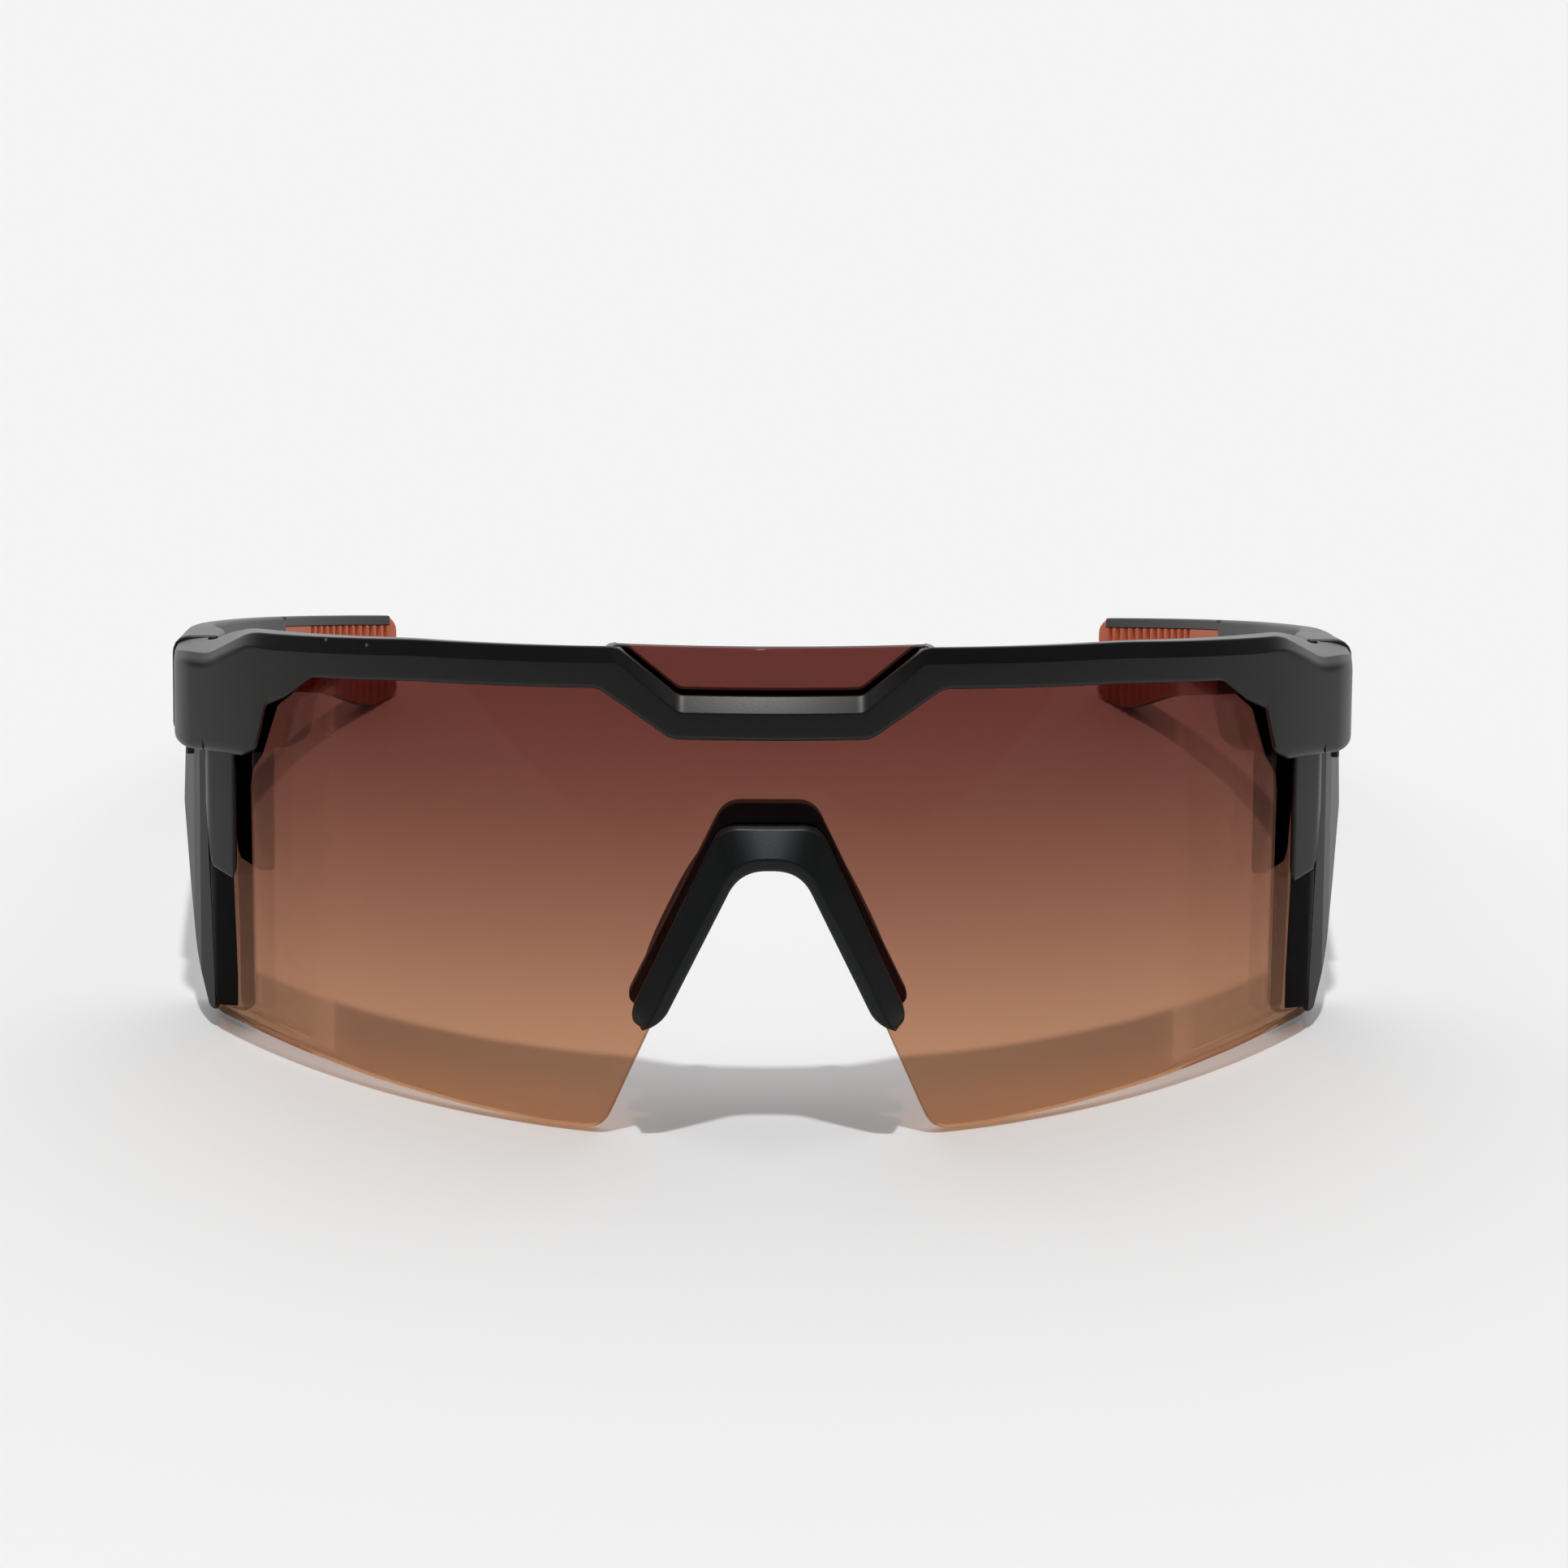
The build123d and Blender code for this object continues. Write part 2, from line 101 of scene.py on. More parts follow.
def place(x, depth, height):
    """Front coordinates to row coordinates: turn depth and height by the lean, then move to the foot."""
    y = FOOT_Y + depth * cos(LEAN) + height * sin(LEAN)
    z = FOOT_Z + height * cos(LEAN) - depth * sin(LEAN)
    return np.stack(np.broadcast_arrays(x, y, z), axis=-1) * MM


TEMPLE_ROOT = place(0.0, ENDPIECE_DEPTH + TEMPLE_GAP, ENDPIECE_TOP) / MM


def place_temple(x, along, up):
    """Temple coordinates to row coordinates: turn along and up by the slope, and stop at the floor."""
    y = TEMPLE_ROOT[1] + along * cos(TEMPLE_SLOPE) + up * sin(TEMPLE_SLOPE)
    z = TEMPLE_ROOT[2] - along * sin(TEMPLE_SLOPE) + up * cos(TEMPLE_SLOPE)
    return np.stack(np.broadcast_arrays(x, y, np.maximum(z, 0.0)), axis=-1) * MM


# The dome is dark in front and low down. Its ramp runs over y + DOME_RISE * z of a direction.
DOME_RISE = 0.8
DOME_DARK = 0.32
DOME_BRIGHT = 0.85
DOME_LEAST = 0.03
KEY_FROM = (0.0, -0.142, 1.0)
FLOOR_HALF = 4.0


# ---------------------------------------------------------------- shape maths
def smooth(value, start, end):
    """0 before start, 1 after end, and 3t^2 - 2t^3 between them."""
    t = np.clip((value - start) / (end - start), 0.0, 1.0)
    return t * t * (3.0 - 2.0 * t)


def eased(count):
    """count numbers from 0 to 1, closest together at both ends: (1 - cos(pi t)) / 2."""
    return 0.5 - 0.5 * np.cos(np.linspace(0.0, pi, count))


def rounded_line(points, radii, steps=7):
    """An open line whose inner corners become parabolas (1-t)^2 a + 2t(1-t) c + t^2 b between tangent
    points. Its end segments may be used up by the rounding next to them."""
    corners = np.array(points, float)
    before = corners[:-2] - corners[1:-1]
    after = corners[2:] - corners[1:-1]
    length_before = np.linalg.norm(before, axis=1)
    length_after = np.linalg.norm(after, axis=1)
    before /= length_before[:, None]
    after /= length_after[:, None]
    half = 0.5 * np.arccos(np.clip((before * after).sum(axis=1), -0.999999, 0.999999))
    share_before = np.where(np.arange(len(half)) == 0, 0.98, 0.48)
    share_after = np.where(np.arange(len(half)) == len(half) - 1, 0.98, 0.48)
    room = np.minimum(share_before * length_before, share_after * length_after)
    reach = np.minimum(np.array(radii, float) / np.tan(half), room)
    a = corners[1:-1] + before * reach[:, None]
    b = corners[1:-1] + after * reach[:, None]
    t = np.linspace(0.0, 1.0, steps)[None, :, None]
    arcs = (1 - t) ** 2 * a[:, None] + 2 * t * (1 - t) * corners[1:-1, None] + t**2 * b[:, None]
    return np.vstack([corners[:1], arcs.reshape(-1, 2), corners[-1:]])


class Edge:
    """One edge of an outline as a height over the distance from the middle."""

    def __init__(self, points, radii):
        self.line = rounded_line(points, radii)

    def __call__(self, x):
        return np.interp(np.abs(x), self.line[:, 0], self.line[:, 1])


def rounded_loops(corners, radii, steps=6):
    """Closed polygons, one a station, whose corners become parabolas between tangent points.
    corners is (stations, corners, 2), and radii broadcasts to (stations, corners)."""
    before = np.roll(corners, 1, axis=1) - corners
    after = np.roll(corners, -1, axis=1) - corners
    length_before = np.linalg.norm(before, axis=2) + 1e-9
    length_after = np.linalg.norm(after, axis=2) + 1e-9
    before = before / length_before[..., None]
    after = after / length_after[..., None]
    half = 0.5 * np.arccos(np.clip((before * after).sum(axis=2), -0.999999, 0.999999))
    radii = np.broadcast_to(np.array(radii, float), half.shape)
    reach = np.minimum(radii / np.tan(np.maximum(half, 1e-3)), 0.46 * np.minimum(length_before, length_after))
    a = (corners + before * reach[..., None])[:, :, None]
    b = (corners + after * reach[..., None])[:, :, None]
    t = eased(steps)[None, None, :, None]
    loops = (1 - t) ** 2 * a + 2 * t * (1 - t) * corners[:, :, None] + t**2 * b
    return loops.reshape(len(corners), -1, 2)


def spread(*spans):
    """Stations from spans of (start, end, step), joined and in order."""
    return np.unique(np.concatenate([np.append(np.arange(a, b, step), b) for a, b, step in spans]).round(5))


def both_sides(x):
    """The same stations on both sides of the middle."""
    return np.unique(np.concatenate([-x, x]).round(5))


def skin(points):
    """Vertices and faces of a closed tube through loops of points, with a face over each end."""
    stations, around = points.shape[:2]
    index = np.arange(stations * around).reshape(stations, around)
    turned = np.roll(index, -1, axis=1)
    quads = np.stack([index[:-1], turned[:-1], turned[1:], index[1:]], axis=-1).reshape(-1, 4)
    faces = quads.tolist() + [index[0, ::-1].tolist(), index[-1].tolist()]
    return points.reshape(-1, 3), faces


def globe(points):
    """Vertices and faces of a closed surface over a grid of latitude rows and longitude columns.
    Its first and last rows are single points."""
    rows, around = points.shape[:2]
    index = np.arange(rows * around).reshape(rows, around)
    turned = np.roll(index, -1, axis=1)
    quads = np.stack([index[:-1], turned[:-1], turned[1:], index[1:]], axis=-1).reshape(-1, 4)
    return points.reshape(-1, 3), quads.tolist()


def mirrored(shell):
    """The same shell on the other side of the middle."""
    points, faces = shell
    return points * np.array([-1.0, 1.0, 1.0]), faces


def make_piece(name, shells, body, material, replaces, crease=50):
    """Join shells in one mesh object, merge its doubles, face it outward, and fix it to the frame."""
    points = np.vstack([shell[0] for shell in shells])
    starts = np.cumsum([0] + [len(shell[0]) for shell in shells[:-1]])
    faces = [[start + i for i in face] for start, shell in zip(starts.tolist(), shells) for face in shell[1]]
    mesh = bpy.data.meshes.new(name)
    mesh.from_pydata(points.tolist(), [], faces)
    work = bmesh.new()
    work.from_mesh(mesh)
    bmesh.ops.remove_doubles(work, verts=work.verts, dist=1e-6)
    bmesh.ops.dissolve_degenerate(work, edges=work.edges, dist=1e-7)
    bmesh.ops.recalc_face_normals(work, faces=work.faces)
    work.to_mesh(mesh)
    work.free()
    mesh.shade_smooth()
    mesh.set_sharp_from_angle(angle=radians(crease))
    piece = bpy.data.objects.new(name, mesh)
    bpy.context.scene.collection.objects.link(piece)
    mesh.materials.append(material)
    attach(piece, body)
    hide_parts(*replaces)
    return piece


# ---------------------------------------------------------------- shader maths
class Value:
    """A number socket. An expression on it adds the Math nodes that work it out."""

    def __init__(self, nodes, socket):
        self.nodes = nodes
        self.socket = socket

    def _math(self, operation, first, second):
        node = self.nodes.add("ShaderNodeMath", {"operation": operation}, {0: first, 1: second})
        return Value(self.nodes, node.outputs[0])

    def __add__(self, other):
        return self._math("ADD", self, other)

    __radd__ = __add__

    def __mul__(self, other):
        return self._math("MULTIPLY", self, other)

    __rmul__ = __mul__

    def __sub__(self, other):
        return self._math("SUBTRACT", self, other)

    def __rsub__(self, other):
        return self._math("SUBTRACT", other, self)

    def __pow__(self, other):
        return self._math("POWER", self, other)

    def over(self, start, end):
        """0 at start, 1 at end, smooth and held between them."""
        node = self.nodes.add(
            "ShaderNodeMapRange", {"interpolation_type": "SMOOTHSTEP"},
            {"Value": self, "From Min": start, "From Max": end},
        )
        return Value(self.nodes, node.outputs["Result"])


class Finish:
    """A material's node tree, with one method that adds any node."""

    def __init__(self, name):
        self.material = bpy.data.materials.new(name)
        self.material.use_nodes = True
        self.tree = self.material.node_tree
        self.tree.nodes.clear()
        self.output = self.add("ShaderNodeOutputMaterial")
        self.place = self.add("ShaderNodeTexCoord").outputs["Object"]

    def add(self, kind, settings=None, inputs=None):
        """A node of this type, its settings first, and then its sockets' values or links."""
        node = self.tree.nodes.new(kind)
        for key, value in (settings or {}).items():
            setattr(node, key, value)
        for key, value in (inputs or {}).items():
            if isinstance(value, Value):
                value = value.socket
            if isinstance(value, bpy.types.NodeSocket):
                self.tree.links.new(value, node.inputs[key])
            else:
                node.inputs[key].default_value = value
        return node

    def value(self, socket):
        return Value(self, socket)

    def noise(self, size, detail=2.0, roughness=0.5, stretch=(1, 1, 1), seed=0.0):
        """Noise whose blobs are size millimetres across, longer along each axis with a larger stretch."""
        scale = [1.0 / s for s in stretch]
        placed = self.add(
            "ShaderNodeMapping", {}, {"Vector": self.place, "Scale": scale, "Location": (seed, seed, seed)},
        )
        node = self.add(
            "ShaderNodeTexNoise", {},
            {
                "Vector": placed.outputs[0], "Scale": 1.0 / (size * MM), "Detail": detail,
                "Roughness": roughness,
            },
        )
        return self.value(node.outputs["Fac"])

    def cells(self, size, feature="F1"):
        """Distance to the nearest of scattered points, about size millimetres apart."""
        node = self.add(
            "ShaderNodeTexVoronoi", {"feature": feature}, {"Vector": self.place, "Scale": 1.0 / (size * MM)},
        )
        return self.value(node.outputs["Distance"])

    def blend(self, factor, first, second):
        """From the first colour at factor 0 to the second at factor 1."""
        node = self.add(
            "ShaderNodeMix", {"data_type": "RGBA"}, {"Factor": factor, 6: first, 7: second},
        )
        return node.outputs[2]

    def bump(self, height, distance, strength=1.0, normal=None):
        inputs = {"Height": height, "Distance": distance * MM, "Strength": strength}
        if normal is not None:
            inputs["Normal"] = normal
        return self.add("ShaderNodeBump", {}, inputs).outputs["Normal"]

    def surface(self, shader):
        self.tree.links.new(shader.outputs[0], self.output.inputs["Surface"])
        return self.material


# ---------------------------------------------------------------- finishes
def moulded_plastic(name, colour, roughness, grain, grain_depth, tint=(1.0, 0.97, 0.93, 1.0)):
    """Moulded nylon: a fine speckled grain, slow flow clouds in the gloss, and hairline handling marks."""
    finish = Finish(name)
    clouds = finish.noise(16.0, 3.0, 0.55, stretch=(2.0, 1.0, 1.0))
    speckle = finish.noise(grain, 2.0, 0.6)
    pits = finish.cells(grain * 1.9)
    scuffs = finish.noise(1.1, 4.0, 0.7, stretch=(9.0, 1.0, 1.0), seed=3.0).over(0.66, 0.78)
    dust = finish.cells(5.5).over(0.055, 0.02) * finish.noise(9.0, 1.0, 0.5, seed=5.0).over(0.5, 0.7)
    pale = tuple(2.1 * c for c in colour[:3])
    base = finish.blend(clouds.over(0.25, 0.8) * 0.35 + speckle.over(0.5, 0.85) * 0.3, colour, (*pale, 1.0))
    base = finish.blend(dust * 0.55, base, (0.22, 0.21, 0.2, 1.0))
    gloss = roughness + (clouds - 0.5) * 0.14 + (speckle - 0.5) * 0.12 - scuffs * 0.06 + dust * 0.2
    height = speckle * 0.7 + pits.over(0.0, 0.45) * 0.3
    fine = finish.bump(height, grain_depth, 1.0)
    normal = finish.bump(clouds, 0.12, 0.25, fine)
    shader = finish.add(
        "ShaderNodeBsdfPrincipled", {},
        {"Base Color": base, "Roughness": gloss, "Normal": normal, "IOR": 1.4, "Specular Tint": tint},
    )
    return finish.surface(shader)


def moulded_rubber(name, colour, deep, roughness):
    """Soft rubber: a matte skin with pores, darker where dirt sits, and worn smoother in patches."""
    finish = Finish(name)
    patches = finish.noise(7.0, 3.0, 0.6)
    skin_grain = finish.noise(0.22, 3.0, 0.65)
    pores = finish.cells(0.5).over(0.28, 0.08)
    base = finish.blend(patches.over(0.3, 0.75) * 0.6 + pores * 0.4, colour, deep)
    gloss = roughness + (skin_grain - 0.5) * 0.2 - patches.over(0.55, 0.8) * 0.12
    normal = finish.bump(skin_grain - pores * 0.5, 0.03, 1.0)
    shader = finish.add(
        "ShaderNodeBsdfPrincipled", {},
        {"Base Color": base, "Roughness": gloss, "Normal": normal, "IOR": 1.45, "Sheen Weight": 0.12},
    )
    return finish.surface(shader)


def brushed_steel(name, colour):
    """Stainless steel: brushed along one way, with tarnish in soft patches."""
    finish = Finish(name)
    brushing = finish.noise(0.09, 3.0, 0.7, stretch=(1.0, 14.0, 1.0))
    tarnish = finish.noise(1.6, 3.0, 0.6, seed=2.0)
    darker = tuple(0.45 * c for c in colour[:3])
    base = finish.blend(tarnish.over(0.45, 0.8) * 0.7 + brushing * 0.2, colour, (*darker, 1.0))
    gloss = 0.26 + (brushing - 0.5) * 0.2 + tarnish.over(0.4, 0.8) * 0.18
    normal = finish.bump(brushing, 0.01, 0.8)
    shader = finish.add(
        "ShaderNodeBsdfPrincipled", {},
        {"Base Color": base, "Roughness": gloss, "Metallic": 1.0, "Normal": normal},
    )
    return finish.surface(shader)


def tinted_lens(name, top_tint, bottom_tint, low, high):
    """Polished polycarbonate: a brown tint at the top that fades to amber at the bottom, under a clear gloss
    with faint wiping marks. Each of its two faces holds the square root of the tint."""
    finish = Finish(name)
    up_lens = (0.0, sin(LEAN), cos(LEAN))
    height = finish.add("ShaderNodeVectorMath", {"operation": "DOT_PRODUCT"}, {0: finish.place, 1: up_lens})
    streaks = finish.noise(14.0, 3.0, 0.6, stretch=(3.0, 1.0, 1.0))
    fade = finish.value(height.outputs["Value"]) + (streaks - 0.5) * (0.4 * MM)
    upper = finish.add("ShaderNodeBsdfTransparent", {}, {"Color": top_tint})
    lower = finish.add("ShaderNodeBsdfTransparent", {}, {"Color": bottom_tint})
    fall = finish.value(
        finish.add(
            "ShaderNodeMapRange", {"interpolation_type": "LINEAR"},
            {"Value": fade, "From Min": high, "From Max": low},
        ).outputs["Result"]
    )
    tint = finish.add(
        "ShaderNodeMixShader", {}, {"Fac": fall ** 1.4, 1: upper.outputs[0], 2: lower.outputs[0]},
    )
    smears = finish.noise(4.0, 5.0, 0.75, stretch=(6.0, 1.0, 2.0), seed=7.0).over(0.52, 0.75)
    gloss = finish.add(
        "ShaderNodeBsdfPrincipled", {},
        {"Base Color": (0.92, 0.9, 0.88, 1.0), "Metallic": 1.0, "Roughness": 0.02 + smears * 0.012},
    )
    edge = finish.value(finish.add("ShaderNodeFresnel", {}, {"IOR": 1.5}).outputs[0])
    shine = (edge ** 1.5) * 0.5
    coat = finish.add("ShaderNodeMixShader", {}, {"Fac": shine, 1: tint.outputs[0], 2: gloss.outputs[0]})
    return finish.surface(coat)


def floor_paper(name, colour):
    """Seamless paper: pale, matte, with a faint tooth."""
    finish = Finish(name)
    tooth = finish.noise(1.2, 3.0, 0.6)
    base = finish.blend(tooth * 0.5, colour, (*(0.985 * c for c in colour[:3]), 1.0))
    shader = finish.add(
        "ShaderNodeBsdfPrincipled", {},
        {"Base Color": base, "Roughness": 0.9 + (tooth - 0.5) * 0.1, "Specular IOR Level": 0.0},
    )
    return finish.surface(shader)


# ---------------------------------------------------------------- settings
def length(name, description, default):
    return bpy.props.FloatProperty(
        name=name, description=description, default=default, unit="LENGTH", precision=5,
    )


def colour(name, description, default):
    return bpy.props.FloatVectorProperty(
        name=name, description=description, default=default, subtype="COLOR", size=4, min=0.0, max=1.0,
    )


class FrontSettings(bpy.types.PropertyGroup):
    """Sizes of the lens, the brow frame and the nose clip."""

    lens_radius: length("Lens radius", "Outer radius of the curved lens", 0.088)
    lens_thickness: length("Lens thickness", "Thickness of the lens", 0.002)
    bar_depth: length("Bar depth", "How far the brow bar stands in front of the lens", 0.003)
    bar_behind: length("Lip depth", "How far the channel reaches behind the lens", 0.0022)
    bevel_drop: length("Bevel height", "Height of the bevel along the top of the bar", 0.0019)
    corner_round: length("Corner radius", "Rounding of the outer corners of the front", 0.0024)
    slot_depth: length("Slot depth", "Depth of the slot between the middle of the bar and the lens", 0.0016)
    fit_gap: length("Fit gap", "Gap between the lens and what holds it", 0.0001)


class TempleSettings(bpy.types.PropertyGroup):
    """Sizes of the arms' finish and of the ribs in their grips."""

    rib_depth: length("Rib depth", "Depth of the grooves between the grip's ribs", 0.00045)
    root_round: length("Root radius", "Rounding where an arm meets its endpiece", 0.0005)


class FinishSettings(bpy.types.PropertyGroup):
    """Colours of the object's materials."""

    frame_black: colour("Frame", "Moulded nylon of the brow frame", (0.0050, 0.0053, 0.0058, 1.0))
    temple_black: colour("Temples", "Moulded nylon of the arms", (0.0095, 0.0094, 0.0092, 1.0))
    clip_black: colour("Nose clip", "Grained nylon of the nose clip", (0.0070, 0.0073, 0.0078, 1.0))
    lens_top: colour("Lens top", "Tint at the top of one lens face", (0.372, 0.198, 0.178, 1.0))
    lens_bottom: colour("Lens bottom", "Tint at the bottom of one lens face", (0.80, 0.59, 0.445, 1.0))
    grip_rubber: colour("Grip", "Rubber of the grips", (0.60, 0.105, 0.03, 1.0))
    grip_deep: colour("Grip shade", "Rubber of the grips where dirt sits", (0.45, 0.07, 0.02, 1.0))
    # The nose pad's rubber and dirt tones hold painted shade: the grips' orange rubber darkened to its look
    # in shade. The wine-red hue is the rubber's own.
    pad_rubber: colour("Nose pads", "Rubber of the nose pad", (0.075, 0.012, 0.013, 1.0))
    pad_shaded_dirt: colour("Nose pad shade", "Rubber of the nose pad where dirt sits", (0.050, 0.008, 0.009, 1.0))
    hinge_steel: colour("Hinges", "Stainless steel of the hinges", (0.55, 0.55, 0.56, 1.0))
    floor: colour("Floor", "Paper that the glasses stand on", (0.86, 0.86, 0.86, 1.0))


class StageSettings(bpy.types.PropertyGroup):
    """The camera and the lights."""

    camera_place: bpy.props.FloatVectorProperty(
        name="Camera", description="Where the camera stands", subtype="TRANSLATION", unit="LENGTH",
        default=(-0.01726, -0.80176, 0.33610), precision=5,
    )
    camera_turn: bpy.props.FloatVectorProperty(
        name="Camera turn", description="Which way the camera looks", subtype="EULER",
        default=(radians(68.22), radians(-0.67), radians(-1.21)),
    )
    focal_length: bpy.props.FloatProperty(
        name="Focal length", description="The camera's focal length", default=151.7, unit="CAMERA",
    )
    key_strength: bpy.props.FloatProperty(
        name="Key light", description="Strength of the key light above the camera", default=1.38,
    )
    key_angle: bpy.props.FloatProperty(
        name="Key size", description="How wide the key light looks", default=radians(2.2), subtype="ANGLE",
    )
    dome_strength: bpy.props.FloatProperty(
        name="Dome", description="Strength of the light from above and behind", default=1.17,
    )


# ---------------------------------------------------------------- front
LENS_TOP_EDGE = Edge(
    [(0, LENS_TOP), (18.8, LENS_TOP), (20.4, 57.2), (45, 56.4), (61, 54.6), (66, 51.2), (69.3, 51.2)],
    [1.0, 1.0, 40.0, 2.5, 2.0],
)
LENS_LOW_EDGE = Edge(
    [
        (0, 34.4), (5.2, 34.4), (13.6, 14.1), (19.9, -0.1), (26.5, 0.1), (37, 1.5), (47.8, 3.3),
        (58, 5.4), (68.3, 7.7), (68.8, 19.0), (69.2, 30.0),
    ],
    [3.0, 20.0, 3.4, 40.0, 60.0, 60.0, 60.0, 1.2, 30.0],
)
FRONT_TOP_EDGE = Edge(
    [(0, 53.8), (11.0, 53.8), (18.4, 59.6), (43, 58.9), (63.2, 57.2), (68.9, 53.3), (73.5, 52.9)],
    [2.0, 1.6, 80.0, 5.0, 4.0],
)
FRONT_LOW_EDGE = Edge(
    [
        (0, 48.6), (11.9, 48.6), (20.6, 54.5), (43, 53.8), (55.4, 52.8), (58.7, 49.9), (61.3, 48.3),
        (62.6, 42.6), (64.4, 41.4), (73.5, 41.0),
    ],
    [3.0, 3.0, 60.0, 1.2, 1.0, 1.0, 1.2, 1.0],
)
RAIL_LOW_EDGE = Edge([(0, 50.6), (11.2, 50.6), (18.4, 55.4), (21.0, 55.4)], [3.0, 1.0])
RAIL_TOP_EDGE = Edge([(0, 53.9), (10.9, 53.9), (17.2, 58.9), (19.2, 58.9), (20.6, 57.9)], [2.0, 1.0, 1.0])
LIP_LOW_EDGE = Edge(
    [(0, 57.0), (17.8, 57.0), (21.0, 54.8), (43, 54.2), (56.4, 52.9), (66, 51.0), (70, 51.0)],
    [1.0, 1.0, 60.0, 20.0, 2.0],
)


def ring_depth(x, offset, radius):
    """Depth of a circle about the lens axis, offset n outward from the lens's face:
    R - sqrt((R + n)^2 - x^2)."""
    return radius - np.sqrt((radius + offset) ** 2 - x**2)


def end_inset(x, limit, radius):
    """How far a rounded end draws in near its limit: r - sqrt(r^2 - t^2) over the last r of it."""
    t = np.clip((np.abs(x) - (limit - radius)) / radius, 0.0, 1.0)
    return radius * (1.0 - np.sqrt(1.0 - t**2))


def sections(points):
    """Corners of every section, (stations, corners, 2), from pairs that hold one value a station."""
    return np.stack([np.stack(point, axis=-1) for point in points], axis=1)


def ring_shell(x, corners, radii, radius, steps=6):
    """Sections of (offset, height) at each x, rounded and bent round the lens axis."""
    loops = rounded_loops(corners, radii, steps)
    across = x[:, None]
    return skin(place(across, ring_depth(across, loops[..., 0], radius), loops[..., 1]))


def lens_shell(front):
    """A wall between two cylinders, cut to its top and bottom edges, with a rounded rim."""
    radius = front.lens_radius / MM
    inner = -front.lens_thickness / MM
    x = both_sides(spread((0, 4, 1.0), (4, 22, 0.2), (22, 64, 0.8), (64, LENS_HALF_WIDTH, 0.1)))
    rim = 0.3 * end_inset(x, LENS_HALF_WIDTH, 1.0)
    low, high = LENS_LOW_EDGE(x), LENS_TOP_EDGE(x)
    face, back = 0 * x - rim, inner + 0 * x + rim
    corners = sections([(face, low), (face, high), (back, high), (back, low)])
    return ring_shell(x, corners, LENS_EDGE_RADIUS, radius)


def bar_shell(front):
    """Brow bar, corner blocks and endpieces in one sweep across the front. A section has a front face, a
    bevel, and behind it a slot in the middle, a channel over the lens's top edge, or a solid endpiece."""
    radius = front.lens_radius / MM
    depth = front.bar_depth / MM
    gap = front.fit_gap / MM
    lip = -(front.lens_thickness + front.bar_behind) / MM
    groove = -front.lens_thickness / MM - gap
    x = both_sides(
        spread((0, 8, 1.0), (8, 22, 0.2), (22, 54, 1.0), (54, 69.4, 0.2), (69.4, 69.8, 0.05), (69.8, 71, 0.3),
               (71, FRONT_HALF_WIDTH, 0.08))
    )
    away = np.abs(x)
    inset = end_inset(x, FRONT_HALF_WIDTH, front.corner_round / MM)
    low = FRONT_LOW_EDGE(x) + 0.55 * inset
    high = FRONT_TOP_EDGE(x) - 0.3 * inset
    drop = front.bevel_drop / MM * (1.0 - 0.45 * smooth(away, 60, 67))
    back = 1.4 - 0.75 * smooth(away, 11.0, 19.5) + 0.5 * smooth(away, 60, 67)
    roofed = smooth(away, 17.4, 18.6)
    solid = (away > ENDPIECE_INNER_X - 0.05).astype(float)
    slot_floor = high - front.slot_depth / MM
    roof = LENS_TOP_EDGE(x) + gap
    lip_low = np.minimum(LIP_LOW_EDGE(x), roof - 0.3)
    face = ring_depth(x, depth, radius) + inset
    ring_rear = ring_depth(np.minimum(away, ENDPIECE_INNER_X), lip, radius)
    rear = np.where(solid > 0, ENDPIECE_DEPTH, ring_rear)
    rear = rear - 0.4 * end_inset(x, FRONT_HALF_WIDTH, 0.6)
    rear_high = high - 1.1 * roofed * (1.0 - smooth(away, 62.0, 67.5))

    def ring(offset):
        return ring_depth(np.minimum(away, 73.4), offset, radius)

    def along(first, second, share):
        return first + (second - first) * share

    def pick(slotted, channelled, ended):
        open_part = along(slotted, channelled, roofed)
        return along(open_part, ended, solid)

    seat = ring(gap)
    points = [
        (face, low),
        (face, high - drop),
        (face + ring(depth - back) - ring(depth), high),
        (pick(ring(1.0), rear, rear), pick(high, rear_high, high)),
        (pick(ring(1.0), rear, rear), pick(slot_floor, lip_low, low)),
        (pick(ring(0.55), ring(groove), along(rear, seat, 0.3)), pick(slot_floor, lip_low, low)),
        (pick(seat, ring(groove), along(rear, seat, 0.5)), pick(slot_floor, roof, low)),
        (pick(seat, seat, along(rear, seat, 0.7)), pick(along(slot_floor, low, 0.4), roof, low)),
        (pick(seat, seat, along(face, rear, 0.2)), low),
    ]
    corners = sections(points)
    radii = np.stack(
        [
            0.6 + 1.2 * smooth(away, 57, 65), 0.35 + 1.2 * smooth(away, 60, 68),
            0.3 + 0.3 * smooth(away, 60, 68), 0.3 + 0 * x, 0.15 + 0.35 * solid,
            0.12 + 0 * x, 0.12 + 0 * x, 0.12 + 0 * x, 0.12 + 0 * x,
        ],
        axis=-1,
    )
    loops = rounded_loops(corners, radii, 7)
    return skin(place(x[:, None], loops[..., 0], loops[..., 1]))


def rail_shell(front):
    """A rail behind the lens that joins the two channels under the tongue of the lens."""
    x = both_sides(spread((0, 9, 1.0), (9, 20.2, 0.2), (20.2, 20.6, 0.1)))
    near = -front.lens_thickness / MM - front.fit_gap / MM
    far = -(front.lens_thickness + front.bar_behind) / MM
    low, high = RAIL_LOW_EDGE(x), RAIL_TOP_EDGE(x)
    points = [(near + 0 * x, low), (near + 0 * x, high), (far + 0 * x, high), (far + 0 * x, low)]
    corners = sections(points)
    return ring_shell(x, corners, 0.25, front.lens_radius / MM)


